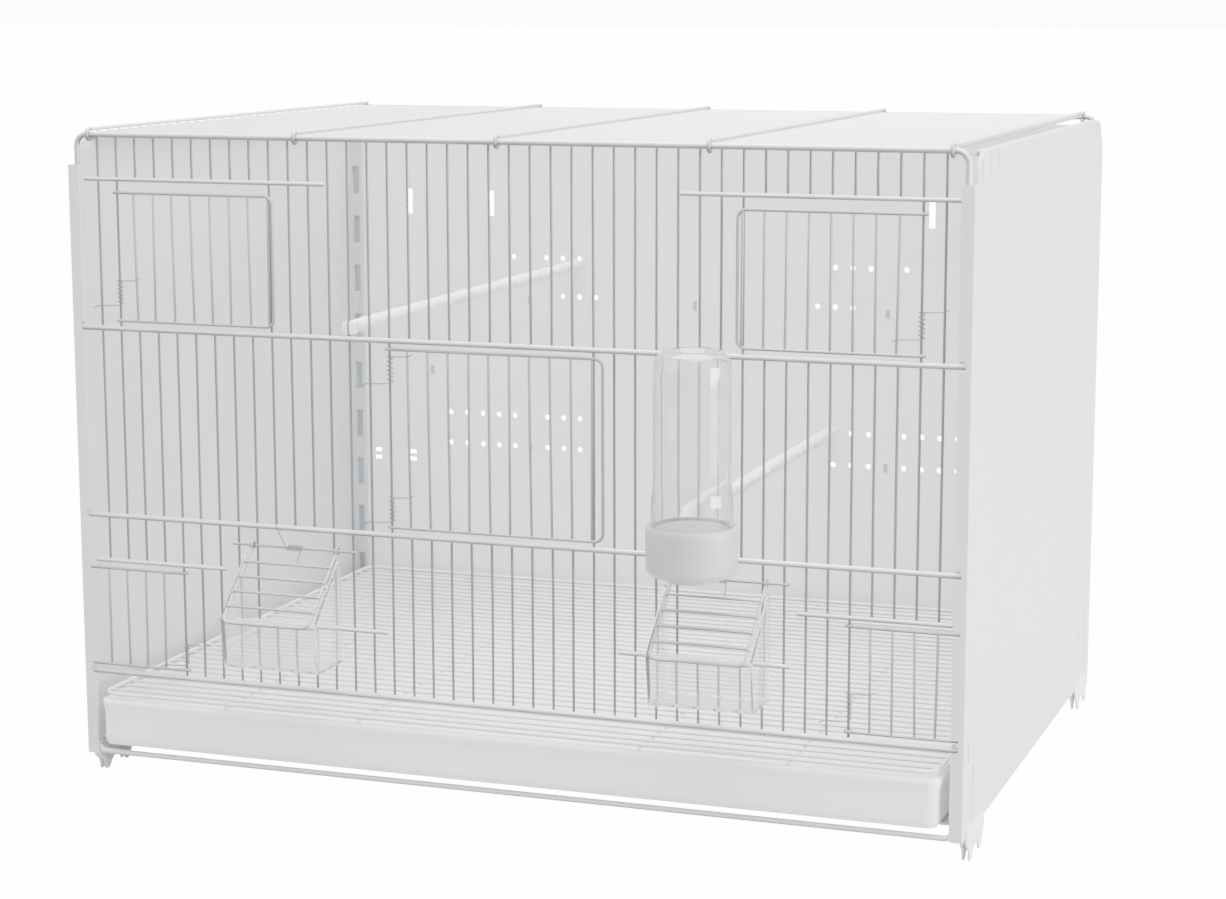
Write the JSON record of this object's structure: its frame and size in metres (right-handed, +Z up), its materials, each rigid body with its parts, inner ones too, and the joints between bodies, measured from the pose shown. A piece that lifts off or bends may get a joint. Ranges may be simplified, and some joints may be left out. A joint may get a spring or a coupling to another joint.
{
  "type": "bird breeding cage",
  "caption": "Wire and plastic breeding cage for small birds, with sprung doors, hung feeders under sprung flaps, a drinker bottle, perches and a pull-out tray.",
  "frame": {"origin": "centre of the bounding box at the ground, under the foot tips", "axes": "+X to the right seen from the front, +Y from the front to the back, +Z up"},
  "size_m": [0.5528, 0.4514, 0.3999],
  "materials": {
    "panel_plastic": "smooth white moulded plastic sheet",
    "foot_plastic": "slightly translucent natural white plastic",
    "tray_plastic": "white moulded plastic",
    "clear_plastic": "clear transparent plastic",
    "cap_plastic": "opaque white plastic",
    "perch_plastic": "white moulded plastic with raised knobs",
    "spring_steel": "bright spring steel wire",
    "coated_wire": "steel wire with white powder coat"
  },
  "bodies": {
    "cage": {"side_panel_left": "panel_plastic", "side_panel_right": "panel_plastic", "back_panel": "panel_plastic", "top_front_rail": "coated_wire", "top_rear_rail": "coated_wire", "front_rails": "coated_wire", "front_bars": "coated_wire", "partial_rails": "coated_wire", "flap_pivots": "coated_wire", "bottom_front_wire": "coated_wire", "bottom_rear_wire": "coated_wire", "foot_front_left": "foot_plastic", "foot_front_right": "foot_plastic", "foot_rear_left": "foot_plastic", "foot_rear_right": "foot_plastic", "roof_wires": "coated_wire", "roof_cross_wires": "coated_wire", "spring_upper_left": "spring_steel", "spring_upper_right": "spring_steel", "spring_centre_top": "spring_steel", "spring_centre_low": "spring_steel", "spring_lower_left": "spring_steel", "spring_lower_right": "spring_steel", "flap_spring_left": "spring_steel", "flap_spring_right": "spring_steel", "perch_upper": "perch_plastic", "perch_lower": "perch_plastic"},
    "door_upper_left": {"door_upper_left": "coated_wire"},
    "door_upper_right": {"door_upper_right": "coated_wire"},
    "door_centre": {"door_centre": "coated_wire"},
    "door_lower_left": {"door_lower_left": "coated_wire"},
    "door_lower_right": {"door_lower_right": "coated_wire"},
    "flap_left": {"flap_left": "coated_wire"},
    "flap_right": {"flap_right": "coated_wire"},
    "tray_drawer": {"tray": "tray_plastic"},
    "floor_grille": {"floor_frame": "coated_wire", "floor_wires": "coated_wire"},
    "feeder_left": {"feeder_left": "clear_plastic"},
    "feeder_right": {"feeder_right": "clear_plastic"},
    "drinker": {"bottle": "clear_plastic", "drinker_cap": "cap_plastic"}
  },
  "joints": [
    {"name": "door_upper_left_hinge", "type": "hinge", "parent": "cage", "child": "door_upper_left", "pos_m": [-0.2457, -0.16785, 0.2847], "axis": [0, 0, -1], "range_deg": [0, 110], "stiffness_Nm_per_rad": 0.02, "springref_deg": -34.38, "deforming": ["spring_upper_left"]},
    {"name": "door_upper_right_hinge", "type": "hinge", "parent": "cage", "child": "door_upper_right", "pos_m": [0.2457, -0.16785, 0.2847], "axis": [0, 0, 1], "range_deg": [0, 110], "stiffness_Nm_per_rad": 0.02, "springref_deg": -34.38, "deforming": ["spring_upper_right"]},
    {"name": "door_centre_hinge", "type": "hinge", "parent": "cage", "child": "door_centre", "pos_m": [-0.0693, -0.16785, 0.1697], "axis": [0, 0, -1], "range_deg": [0, 110], "stiffness_Nm_per_rad": 0.03, "springref_deg": -34.38, "deforming": ["spring_centre_top", "spring_centre_low"]},
    {"name": "door_lower_left_hinge", "type": "hinge", "parent": "cage", "child": "door_lower_left", "pos_m": [-0.2079, -0.16785, 0.0717], "axis": [0, 0, 1], "range_deg": [0, 100], "stiffness_Nm_per_rad": 0.01, "springref_deg": -34.38, "deforming": ["spring_lower_left"]},
    {"name": "door_lower_right_hinge", "type": "hinge", "parent": "cage", "child": "door_lower_right", "pos_m": [0.2079, -0.16785, 0.0717], "axis": [0, 0, -1], "range_deg": [0, 100], "stiffness_Nm_per_rad": 0.01, "springref_deg": -34.38, "deforming": ["spring_lower_right"]},
    {"name": "flap_left_hinge", "type": "hinge", "parent": "cage", "child": "flap_left", "pos_m": [-0.1323, -0.1695, 0.1527], "axis": [-1, 0, 0], "range_deg": [0, 100], "stiffness_Nm_per_rad": 0.01, "springref_deg": -34.38, "deforming": ["flap_spring_left"]},
    {"name": "flap_right_hinge", "type": "hinge", "parent": "cage", "child": "flap_right", "pos_m": [0.1323, -0.1695, 0.1527], "axis": [-1, 0, 0], "range_deg": [0, 42], "stiffness_Nm_per_rad": 0.01, "springref_deg": -34.38, "deforming": ["flap_spring_right"]},
    {"name": "tray_slide", "type": "slide", "parent": "cage", "child": "tray_drawer", "axis": [0, -1, 0], "range_m": [0, 0.36]},
    {"name": "floor_slide", "type": "slide", "parent": "cage", "child": "floor_grille", "axis": [0, -1, 0], "range_m": [0, 0.36]},
    {"name": "feeder_left_lift", "type": "slide", "parent": "cage", "child": "feeder_left", "axis": [0, -0.7415, -0.6709], "range_m": [0, 0.04]},
    {"name": "feeder_right_lift", "type": "slide", "parent": "cage", "child": "feeder_right", "axis": [0, -0.7415, -0.6709], "range_m": [0, 0.04]},
    {"name": "drinker_pull", "type": "slide", "parent": "cage", "child": "drinker", "axis": [0, -1, 0], "range_m": [0, 0.12]}
  ]
}
